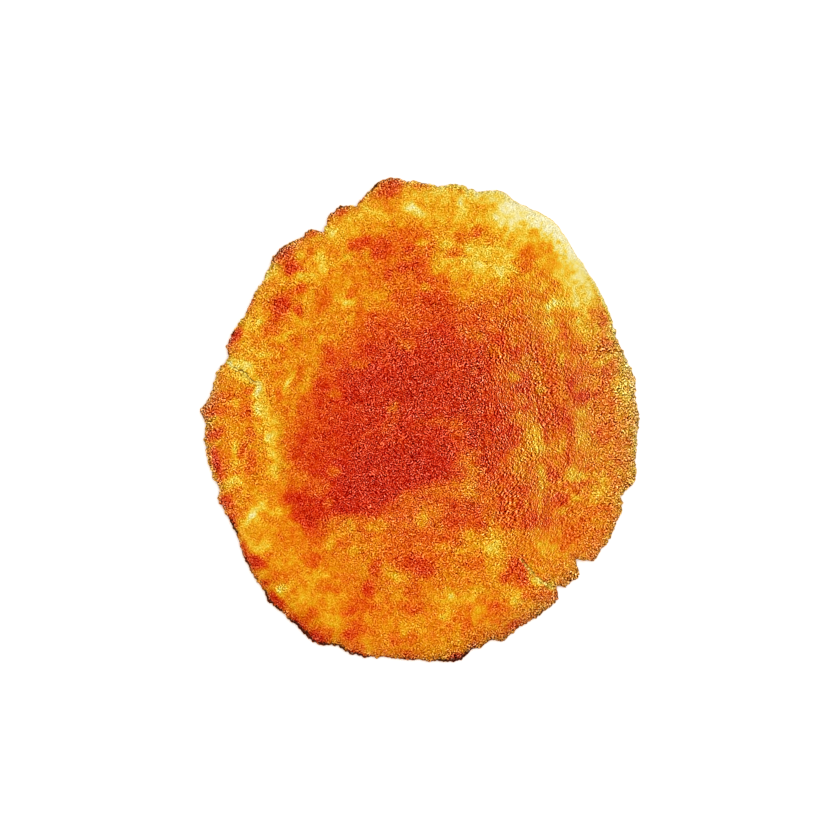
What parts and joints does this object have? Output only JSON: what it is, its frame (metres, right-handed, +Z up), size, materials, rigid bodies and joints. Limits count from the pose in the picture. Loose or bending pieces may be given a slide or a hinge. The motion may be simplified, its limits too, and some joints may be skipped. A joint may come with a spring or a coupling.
{
  "type": "pita",
  "caption": "Round pocket flatbread lying flat, browned on top, with a lobed and nicked rim, a low sunken pocket, a short crack and a small tear at its edge.",
  "frame": {"origin": "on the table, under the middle of the bread's bounding box", "axes": "+Z up through the bread, browned side up; +Y along its longest width, towards the top of the picture"},
  "size_m": [0.1636, 0.1806, 0.0106],
  "materials": {
    "crust": "matte"
  },
  "bodies": {
    "root": {"pita": "crust"}
  },
  "joints": []
}
